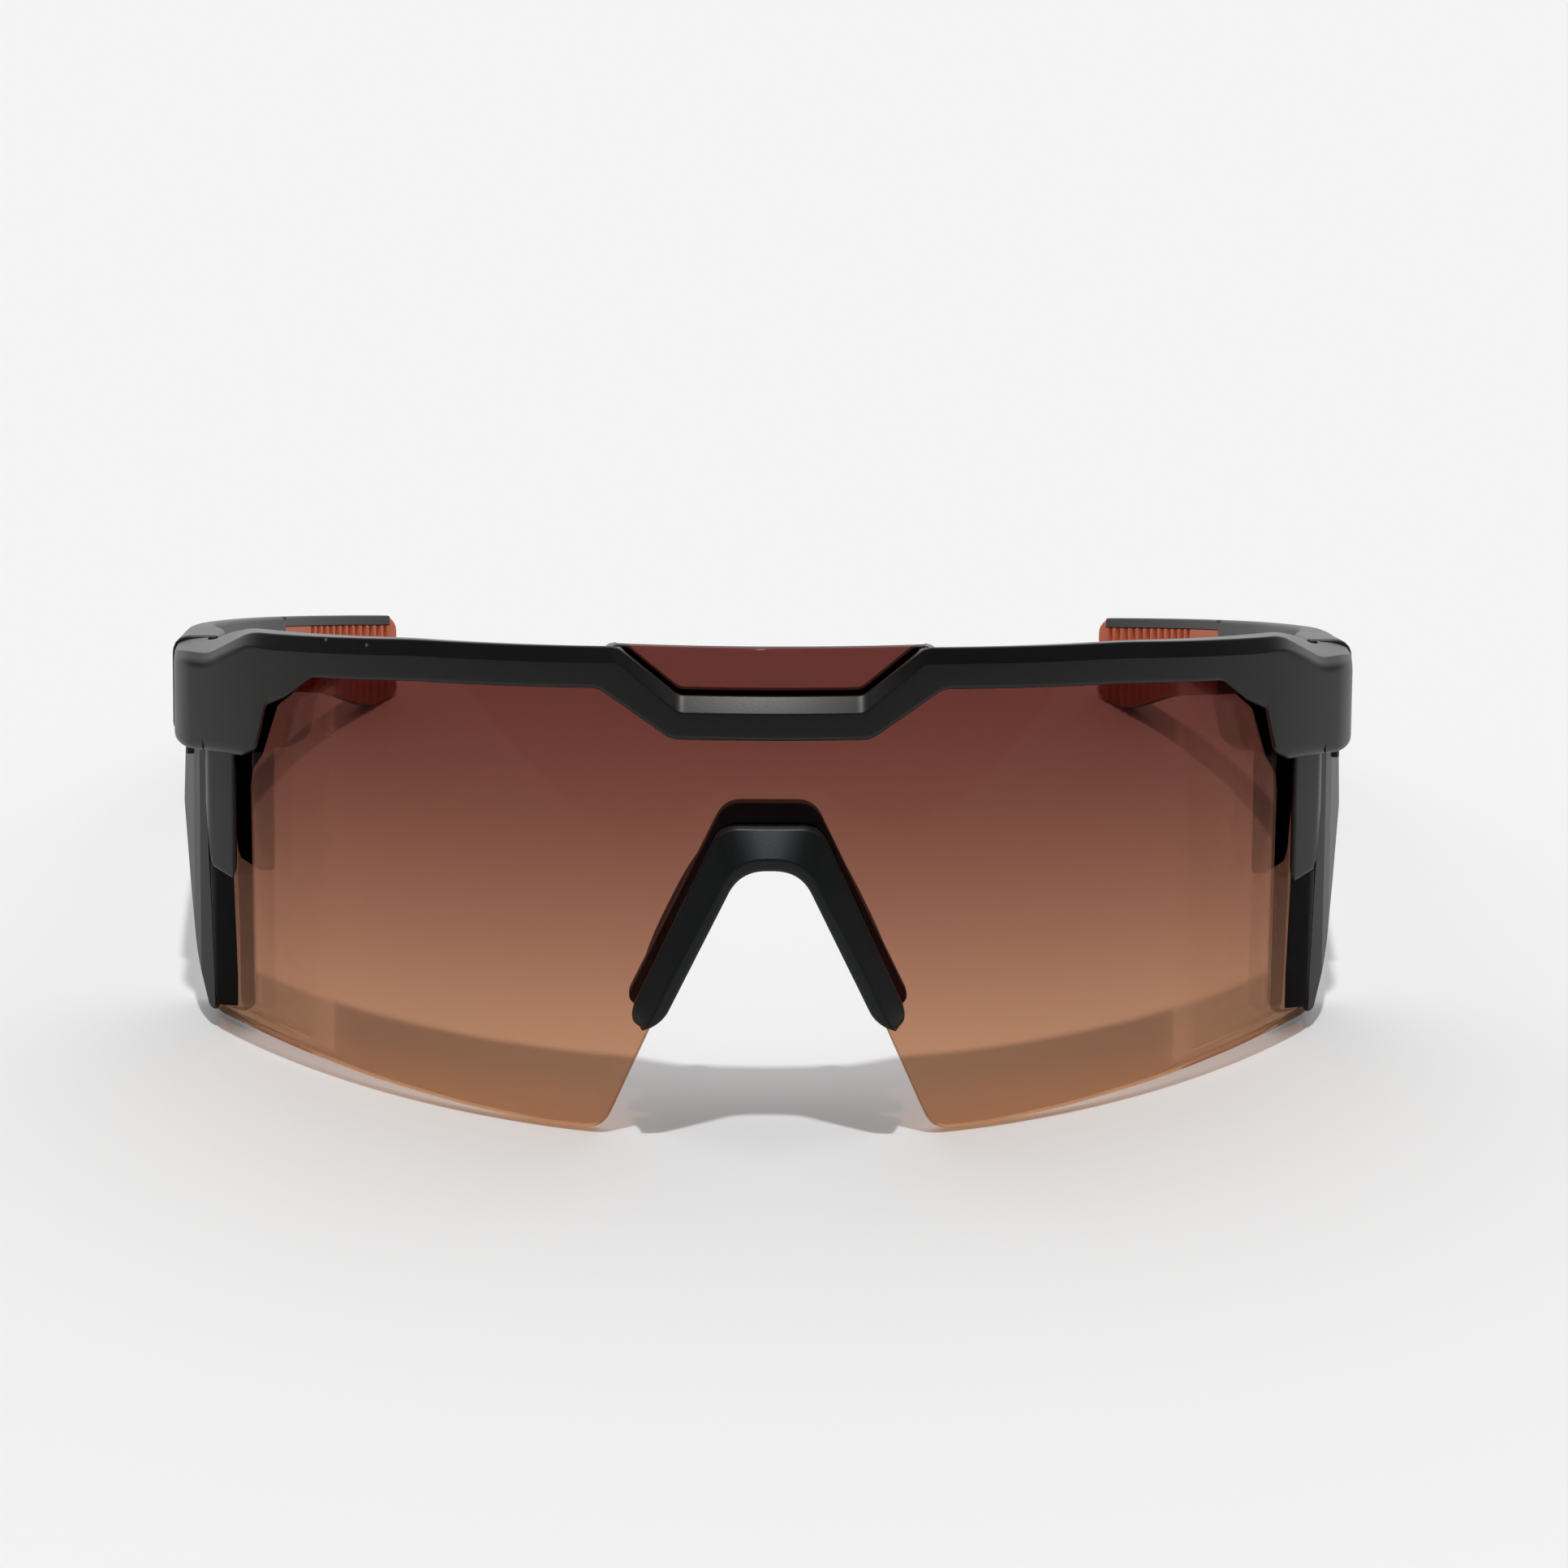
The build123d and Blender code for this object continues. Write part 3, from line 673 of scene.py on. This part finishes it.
def tab_shell(front):
    """A thin tongue that hangs from the corner block over the lens's side edge."""
    x = spread((65.4, 66.0, 0.06), (66.0, 68.8, 0.4), (68.8, 69.4, 0.06))
    centre, half = 67.4, 2.0
    inset = end_inset(x - centre, half, 0.6)
    low = np.interp(x, [65.4, 65.9, 68.7, 69.4], [26.2, 25.6, 26.6, 34.0]) + inset
    high = np.full_like(x, ENDPIECE_BOTTOM + 1.0)
    front_face = 1.6 - inset * 0.9
    gap = front.fit_gap / MM
    back = gap + 0 * x
    corners = sections([(front_face, low), (front_face, high), (back, high), (back, low)])
    return ring_shell(x, corners, 0.4, front.lens_radius / MM)


# ---------------------------------------------------------------- nose
def half_arch(points, radii, count):
    """count points along a rounded line, spaced evenly by length."""
    line = rounded_line(points, radii, 12)
    travelled = np.concatenate([[0.0], np.cumsum(np.linalg.norm(np.diff(line, axis=0), axis=1))])
    at = np.linspace(0.0, travelled[-1], count)
    return np.stack([np.interp(at, travelled, line[:, i]) for i in range(2)], axis=-1)


def arch_shell(outer_foot, outer_shoulder, end_height, end_radius, section, radii, radius, count=90):
    """A profile carried over the nose. Each section lies on the line from the inner edge of the arch to its
    outer edge, its rows being (share of the width, millimetres past it, offset from the lens), and it
    narrows as sqrt(1 - t^2) over the end of each leg."""
    foot_x = NOSE_CROWN_X + (NOSE_CROWN - end_height) * NOSE_SPLAY
    inner = half_arch([(0, NOSE_CROWN), (NOSE_CROWN_X, NOSE_CROWN), (foot_x, end_height)], [5.0], count)
    outer = half_arch([(0, outer_shoulder[1]), outer_shoulder, (outer_foot, end_height)], [3.4], count)
    flip = np.array([-1.0, 1.0])
    inner = np.vstack([inner[:0:-1] * flip, inner])
    outer = np.vstack([outer[:0:-1] * flip, outer])
    width = np.linalg.norm(outer - inner, axis=1)
    way = (outer - inner) / width[:, None]
    share = np.abs(np.linspace(-1.0, 1.0, len(inner)))
    leg = np.linalg.norm(np.diff(inner[count - 1:], axis=0), axis=1).sum()
    t = np.clip((share * leg - (leg - end_radius)) / end_radius, 0.0, 0.995)
    narrow = np.sqrt(1.0 - t**2)[:, None]
    rows = np.array(section)
    across = rows[None, :, 0] * width[:, None] + rows[None, :, 1]
    corners = np.stack([across, np.broadcast_to(rows[None, :, 2], across.shape)], axis=-1)
    loops = rounded_loops(corners, radii, 6)
    middle = 0.5 * width[:, None]
    across = middle + (loops[..., 0] - middle) * narrow
    x = inner[:, None, 0] + way[:, None, 0] * across
    height = inner[:, None, 1] + way[:, None, 1] * across
    return skin(place(x, ring_depth(x, loops[..., 1], radius), height))


def nose_shells(front):
    """Arch in front of the lens with a broad bevel, and the web that reaches back through the notch."""
    radius = front.lens_radius / MM
    gap = front.fit_gap / MM
    behind = -front.lens_thickness / MM - gap
    bevelled = [
        (0, 0, NOSE_FRONT_DEPTH), (0, 1.5, NOSE_FRONT_DEPTH), (1, -0.4, 1.5), (1, 0, 1.0), (1, 0, gap),
        (0, 0, gap),
    ]
    web = [(0, 0.06, 0.5), (1, 0, 0.5), (1, 0, behind), (0, 0.06, behind)]
    return [
        arch_shell(17.4, (5.9, 38.0), 13.2, 2.6, bevelled, [0.5, 0.6, 0.5, 0.3, 0.1, 0.1], radius),
        arch_shell(13.6, (5.1, 34.2), 15.5, 0.3, web, 0.1, radius),
    ]


def flange_shell(front):
    """Rubber flange that follows the notch behind the lens."""
    near = -front.lens_thickness / MM - front.fit_gap / MM
    far = -front.lens_thickness / MM - NOSE_REAR_DEPTH
    section = [(0, 0, near), (1, 0, near), (1, 0, far), (0, 0, far)]
    return arch_shell(17.6, (5.4, 40.2), 14.9, 1.6, section, [0.3, 0.3, 0.7, 0.7], front.lens_radius / MM)


def signed_power(base, exponent):
    return np.sign(base) * np.abs(base) ** exponent


def pad_shell():
    """A soft wing: the superellipsoid |a/A|^p + |b/B|^p + |c/C|^q = 1, dished a little towards the nose."""
    origin = np.array([9.4, 4.6, 24.6])
    out = np.array([0.22, 0.97, 0.107])
    up = np.array([-0.437, 0.0, 0.899])
    out /= np.linalg.norm(out)
    up /= np.linalg.norm(up)
    across = np.cross(out, up)
    across /= np.linalg.norm(across)
    latitude = np.linspace(-pi / 2, pi / 2, 29)[:, None]
    longitude = np.linspace(0.0, 2 * pi, 73)[:-1][None, :]
    ring = signed_power(np.cos(latitude), 0.55)
    a = 4.4 * ring * signed_power(np.cos(longitude), 0.75)
    b = 9.8 * ring * signed_power(np.sin(longitude), 0.75)
    c = 1.25 * signed_power(np.sin(latitude), 0.8) + 0.0 * longitude
    dish = 0.15 * (a / 4.4) ** 2 - 0.1
    centre = origin + out * 4.5
    point = centre + a[..., None] * out + b[..., None] * up + (c + dish)[..., None] * across
    return globe(place(point[..., 0], point[..., 1], point[..., 2]))


# ---------------------------------------------------------------- temples
ARM_TOP = np.polyfit([0.0, 50.0, 108.0], [0.2, 0.9, 0.3], 2)
ARM_LOW = Edge(
    [(0, -12.2), (8, -12.2), (26, -9.4), (62, -8.7), (92, -10.2), (102, -12.4), (108, -10.6)],
    [12.0, 25.0, 60.0, 30.0, 6.0],
)
NOTCH_WALL_X = 70.9
NOTCH_LENGTH = 5.9
NOTCH_TOP = -0.5
NOTCH_LOW = -9.4
ROOT_TILT = tan(TEMPLE_SLOPE - LEAN)


class ArmLines:
    """Where an arm's walls run at each distance along its outer face."""

    def __init__(self, along, root_round=0.0):
        centre_x = TEMPLE_BULGE_X - TEMPLE_BEND_RADIUS
        inner_radius = TEMPLE_BEND_RADIUS - TEMPLE_THICKNESS
        turn = np.arcsin(np.clip((along - TEMPLE_STRAIGHT) / TEMPLE_BEND_RADIUS, 0.0, 1.0))
        bulge = np.clip((TEMPLE_STRAIGHT - along) / 26.0, 0.0, 1.0)
        root_inner = TEMPLE_ROOT_X - TEMPLE_ROOT_THICKNESS
        bent_inner = centre_x + inner_radius * np.cos(turn)
        self.outer = centre_x + TEMPLE_BEND_RADIUS * np.cos(turn) - 0.5 * bulge**2
        self.inner = root_inner + (bent_inner - root_inner) * smooth(along, 13.0, 38.0)
        self.lag = TEMPLE_THICKNESS * np.sin(turn) * smooth(along, TEMPLE_STRAIGHT, 38.0)
        self.top = np.polyval(ARM_TOP, along) - end_inset(along, TEMPLE_LENGTH, 2.6)
        self.low = ARM_LOW(along) + end_inset(along, TEMPLE_LENGTH, 1.6)
        if root_round > 0.0:
            inset = end_inset(root_round - along, root_round, root_round) * (along < root_round)
            self.outer = self.outer - inset
            self.inner = self.inner + inset
            self.top = self.top - inset
            self.low = self.low + inset
        self.along = along

    def place(self, loops):
        """Row coordinates of each section's points (x, up). A point is drawn back by its share of the inner
        wall's lag, and tilted near the root."""
        share = (self.outer[:, None] - loops[..., 0]) / (self.outer - self.inner)[:, None]
        tilt = -loops[..., 1] * ROOT_TILT * (1.0 - smooth(self.along, 0.0, 18.0))[:, None]
        along = self.along[:, None] - share * self.lag[:, None] + tilt
        return place_temple(loops[..., 0], along, loops[..., 1])


def arm_shell(temple):
    """Arm with an oval top, a notch for the hinge at its root, and a shelf for the grip near its tip."""
    along = spread(
        (0, 0.5, 0.1), (0.5, NOTCH_LENGTH, 0.4), (NOTCH_LENGTH, NOTCH_LENGTH + 0.1, 0.1),
        (6, GRIP_START, 1.0),
        (GRIP_START, GRIP_START + 0.1, 0.1), (75, TEMPLE_LENGTH - GRIP_WRAP - 1.6, 1.0),
        (TEMPLE_LENGTH - GRIP_WRAP - 1.6, TEMPLE_LENGTH - GRIP_WRAP, 0.2),
    )
    lines = ArmLines(along, temple.root_round / MM)
    notched = (along <= NOTCH_LENGTH).astype(float)
    gripped = (along > GRIP_START).astype(float)
    wall = lines.inner + notched * (NOTCH_WALL_X - lines.inner) + gripped * GRIP_THICKNESS
    shelf_inner = lines.inner + gripped * GRIP_THICKNESS
    upper = np.where(notched > 0, NOTCH_TOP, lines.top - GRIP_RIM)
    lower = np.where(notched > 0, NOTCH_LOW, lines.low + 0.8)
    plain = (1.0 - notched) * (1.0 - gripped)
    points = [
        (lines.outer, lines.low), (lines.outer, lines.top), (lines.inner, lines.top), (lines.inner, upper),
        (wall, upper - 0.4 * plain), (wall, lower), (shelf_inner, lower - 0.3), (shelf_inner, lines.low),
    ]
    corners = sections(points)
    thickness = lines.outer - lines.inner
    radii = np.stack(
        [
            0.28 * thickness, 0.42 * thickness, 0.3 * thickness * (1.0 - 0.6 * gripped) + 0 * along,
            0.1 + 0 * along, 0.1 + 0 * along, 0.1 + 0 * along, 0.1 + 0 * along,
            0.3 * thickness * (1 - 0.7 * gripped),
        ],
        axis=-1,
    )
    return skin(lines.place(rounded_loops(corners, radii, 8)))


def grip_shell(temple):
    """Rubber liner on the arm's inner wall that wraps round the tip. The grooves between its upright ribs
    are (0.5 + 0.5 cos)^2 of the distance over the pitch."""
    wrap_start = TEMPLE_LENGTH - GRIP_WRAP + 0.02
    along = spread(
        (GRIP_START + 0.12, 80, 0.6), (80, wrap_start - 0.02, 0.12),
        (wrap_start, wrap_start + 0.05, 0.05), (wrap_start + 0.1, TEMPLE_LENGTH, 0.1),
    )
    lines = ArmLines(along)
    wrapped = (along >= wrap_start).astype(float)
    ribs_end = TEMPLE_LENGTH - GRIP_WRAP - 0.5 * RIB_PITCH
    ribs_start = ribs_end - RIB_PITCH * (RIB_COUNT - 0.5)
    inside = smooth(along, ribs_start, ribs_start + 0.3) * (1.0 - smooth(along, ribs_end, ribs_end + 0.4))
    wave = (0.5 + 0.5 * np.cos(2 * pi * (along - ribs_end) / RIB_PITCH)) ** 2
    face = lines.inner + temple.rib_depth / MM * wave * inside
    seam = 0.04
    back = lines.inner + GRIP_THICKNESS - seam + wrapped * (lines.outer - lines.inner - GRIP_THICKNESS + seam)
    brow = lines.top - (GRIP_RIM + seam) * (1.0 - wrapped)
    points = [(face, lines.low), (back, lines.low), (back, brow), (face, brow)]
    corners = sections(points)
    tip = end_inset(along, TEMPLE_LENGTH, 1.0)[:, None]
    centre = 0.5 * (lines.inner + lines.outer)[:, None]
    corners[..., 0] = centre + (corners[..., 0] - centre) * (1.0 - 0.45 * tip)
    radii = np.stack(
        [0.5 + 0 * along, 0.3 + 0.5 * wrapped, 0.15 + 1.0 * wrapped, 0.25 + 0.7 * wrapped], axis=-1,
    )
    return skin(lines.place(rounded_loops(corners, radii, 7)))


# ---------------------------------------------------------------- operators
def settings(context):
    scene = context.scene
    return scene.glasses_front, scene.glasses_temples, scene.glasses_finishes, scene.glasses_stage


def dress(nodes, material):
    """Give CAD nodes one material in each of their slots."""
    for name in nodes:
        mesh = frame["nodes"][name].data
        if not mesh.materials:
            mesh.materials.append(material)
        for i in range(len(mesh.materials)):
            mesh.materials[i] = material


def per_side(*stems):
    return [f"{stem}_{side}" for stem in stems for side in ("left", "right")]


class GLASSES_OT_lens(bpy.types.Operator):
    """Add the curved lens"""

    bl_idname = "glasses.lens"
    bl_label = "Lens"

    def execute(self, context):
        front, _, finishes, _ = settings(context)
        foot = (FOOT_Y * sin(LEAN) + FOOT_Z * cos(LEAN)) * MM
        low, high = foot + FADE_LOW * MM, foot + FADE_HIGH * MM
        tint = tinted_lens("lens_tint_finish", finishes.lens_top, finishes.lens_bottom, low, high)
        make_piece("lens_shield", [lens_shell(front)], "front", tint, ["lens"], crease=60)
        return {"FINISHED"}


class GLASSES_OT_brow_frame(bpy.types.Operator):
    """Add the brow frame: bar, corner blocks, endpieces and tabs"""

    bl_idname = "glasses.brow_frame"
    bl_label = "Brow frame"

    def execute(self, context):
        front, _, finishes, _ = settings(context)
        nylon = moulded_plastic("frame_black_finish", finishes.frame_black, 0.34, 0.16, 0.006)
        tab = tab_shell(front)
        shells = [bar_shell(front), rail_shell(front), tab, mirrored(tab)]
        make_piece("brow_bar", shells, "front", nylon, ["brow_frame"], crease=40)
        smoother = moulded_plastic("side_carrier_finish", finishes.frame_black, 0.2, 0.16, 0.003)
        dress(per_side("side_carrier"), smoother)
        return {"FINISHED"}


class GLASSES_OT_nose_clip(bpy.types.Operator):
    """Add the arch that clips into the lens's notch"""

    bl_idname = "glasses.nose_clip"
    bl_label = "Nose clip"

    def execute(self, context):
        front, _, finishes, _ = settings(context)
        cool = (0.92, 0.97, 1.0, 1.0)
        nylon = moulded_plastic("clip_black_finish", finishes.clip_black, 0.36, 0.2, 0.007, cool)
        make_piece("nose_arch", nose_shells(front), "front", nylon, ["nose_clip"], crease=40)
        return {"FINISHED"}


class GLASSES_OT_nose_pads(bpy.types.Operator):
    """Add the rubber nose pad: a flange behind the lens and its two wings"""

    bl_idname = "glasses.nose_pads"
    bl_label = "Nose pad"

    def execute(self, context):
        front, _, finishes, _ = settings(context)
        # Painted shade: the pad's dark wine-red rubber stands for the grips' orange rubber lying in shade.
        rubber = moulded_rubber("pad_rubber_finish", finishes.pad_rubber, finishes.pad_shaded_dirt, 0.62)
        wing = pad_shell()
        shells = [flange_shell(front), wing, mirrored(wing)]
        make_piece("nose_cushion", shells, "front", rubber, ["nose_pad"])
        return {"FINISHED"}


class GLASSES_OT_temple_arms(bpy.types.Operator):
    """Add the two arms"""

    bl_idname = "glasses.temple_arms"
    bl_label = "Temple arms"

    def execute(self, context):
        _, temples, finishes, _ = settings(context)
        nylon = moulded_plastic("temple_black_finish", finishes.temple_black, 0.38, 0.16, 0.006)
        shell = arm_shell(temples)
        for side, shape in (("left", shell), ("right", mirrored(shell))):
            node = f"temple_arm_{side}"
            make_piece(f"arm_{side}", [shape], BODY_OF[side], nylon, [node], 40)
        dress(per_side("core_wire"), nylon)
        return {"FINISHED"}


class GLASSES_OT_temple_grips(bpy.types.Operator):
    """Add the ribbed rubber grips"""

    bl_idname = "glasses.temple_grips"
    bl_label = "Temple grips"

    def execute(self, context):
        _, temples, finishes, _ = settings(context)
        rubber = moulded_rubber("grip_rubber_finish", finishes.grip_rubber, finishes.grip_deep, 0.6)
        shell = grip_shell(temples)
        for side, shape in (("left", shell), ("right", mirrored(shell))):
            node = f"temple_grip_{side}"
            make_piece(f"grip_{side}", [shape], BODY_OF[side], rubber, [node], 60)
        return {"FINISHED"}


class GLASSES_OT_hinges(bpy.types.Operator):
    """Finish the hinge leaves, their pins and their screws"""

    bl_idname = "glasses.hinges"
    bl_label = "Hinges"

    def execute(self, context):
        _, _, finishes, _ = settings(context)
        steel = brushed_steel("hinge_steel_finish", finishes.hinge_steel)
        dress(
            per_side(
                "hinge_frame_leaf", "frame_leaf_screws", "hinge_pin", "hinge_temple_leaf",
                "temple_leaf_screws",
            ),
            steel,
        )
        return {"FINISHED"}


class GLASSES_OT_stage(bpy.types.Operator):
    """Add the floor, the lights and the camera"""

    bl_idname = "glasses.stage"
    bl_label = "Stage"

    def execute(self, context):
        _, _, finishes, stage = settings(context)
        scene = context.scene
        scene.view_settings.view_transform = "Standard"
        mesh = bpy.data.meshes.new("floor")
        corners = [(x * FLOOR_HALF, y * FLOOR_HALF, 0) for x, y in ((-1, -1), (1, -1), (1, 1), (-1, 1))]
        mesh.from_pydata(corners, [], [(0, 1, 2, 3)])
        mesh.materials.append(floor_paper("floor_paper", finishes.floor))
        floor = bpy.data.objects.new("floor", mesh)
        scene.collection.objects.link(floor)

        sun = bpy.data.lights.new("key_light", "SUN")
        sun.energy = stage.key_strength
        sun.angle = stage.key_angle
        key = bpy.data.objects.new("key_light", sun)
        key.rotation_euler = Vector(KEY_FROM).to_track_quat("Z", "Y").to_euler()
        scene.collection.objects.link(key)

        world = bpy.data.worlds.new("dome")
        world.use_nodes = True
        scene.world = world
        nodes, links = world.node_tree.nodes, world.node_tree.links
        where = nodes.new("ShaderNodeTexCoord")
        parts = nodes.new("ShaderNodeSeparateXYZ")
        tilt = nodes.new("ShaderNodeMath")
        tilt.operation = "MULTIPLY_ADD"
        tilt.inputs[1].default_value = DOME_RISE
        shade = nodes.new("ShaderNodeMapRange")
        shade.interpolation_type = "SMOOTHSTEP"
        shade.inputs["From Min"].default_value = DOME_DARK
        shade.inputs["From Max"].default_value = DOME_BRIGHT
        shade.inputs["To Min"].default_value = DOME_LEAST * stage.dome_strength
        shade.inputs["To Max"].default_value = stage.dome_strength
        sky = nodes["Background"]
        sky.inputs["Color"].default_value = (1.0, 1.0, 1.0, 1.0)
        links.new(where.outputs["Generated"], parts.inputs[0])
        links.new(parts.outputs["Z"], tilt.inputs[0])
        links.new(parts.outputs["Y"], tilt.inputs[2])
        links.new(tilt.outputs[0], shade.inputs["Value"])
        links.new(shade.outputs["Result"], sky.inputs["Strength"])

        lens = bpy.data.cameras.new("camera")
        lens.lens = stage.focal_length
        lens.sensor_width = 36.0
        camera = bpy.data.objects.new("camera", lens)
        camera.location = stage.camera_place
        camera.rotation_euler = stage.camera_turn
        scene.collection.objects.link(camera)
        scene.camera = camera
        return {"FINISHED"}


OPERATORS = (
    GLASSES_OT_lens, GLASSES_OT_brow_frame, GLASSES_OT_nose_clip, GLASSES_OT_nose_pads,
    GLASSES_OT_temple_arms, GLASSES_OT_temple_grips, GLASSES_OT_hinges, GLASSES_OT_stage,
)
GROUPS = {
    "glasses_front": FrontSettings, "glasses_temples": TempleSettings, "glasses_finishes": FinishSettings,
    "glasses_stage": StageSettings,
}


class GLASSES_PT_panel(bpy.types.Panel):
    """Lists the pieces of the glasses and their settings"""

    bl_idname = "GLASSES_PT_panel"
    bl_label = "Sport sunglasses"
    bl_space_type = "VIEW_3D"
    bl_region_type = "UI"
    bl_category = "Sunglasses"

    def draw(self, context):
        for operator in OPERATORS:
            self.layout.operator(operator.bl_idname)
        for group, kind in GROUPS.items():
            box = self.layout.box()
            box.label(text=kind.__doc__)
            for name in kind.__annotations__:
                box.prop(getattr(context.scene, group), name)


def register():
    for kind in (*GROUPS.values(), *OPERATORS, GLASSES_PT_panel):
        bpy.utils.register_class(kind)
    for name, kind in GROUPS.items():
        setattr(bpy.types.Scene, name, bpy.props.PointerProperty(type=kind))


def unregister():
    for name in GROUPS:
        delattr(bpy.types.Scene, name)
    for kind in (GLASSES_PT_panel, *reversed(OPERATORS), *reversed(list(GROUPS.values()))):
        bpy.utils.unregister_class(kind)


def main():
    register()
    bpy.ops.glasses.lens()
    bpy.ops.glasses.brow_frame()
    bpy.ops.glasses.nose_clip()
    bpy.ops.glasses.nose_pads()
    bpy.ops.glasses.temple_arms()
    bpy.ops.glasses.temple_grips()
    bpy.ops.glasses.hinges()
    bpy.ops.glasses.stage()


if __name__ == "__main__":
    main()
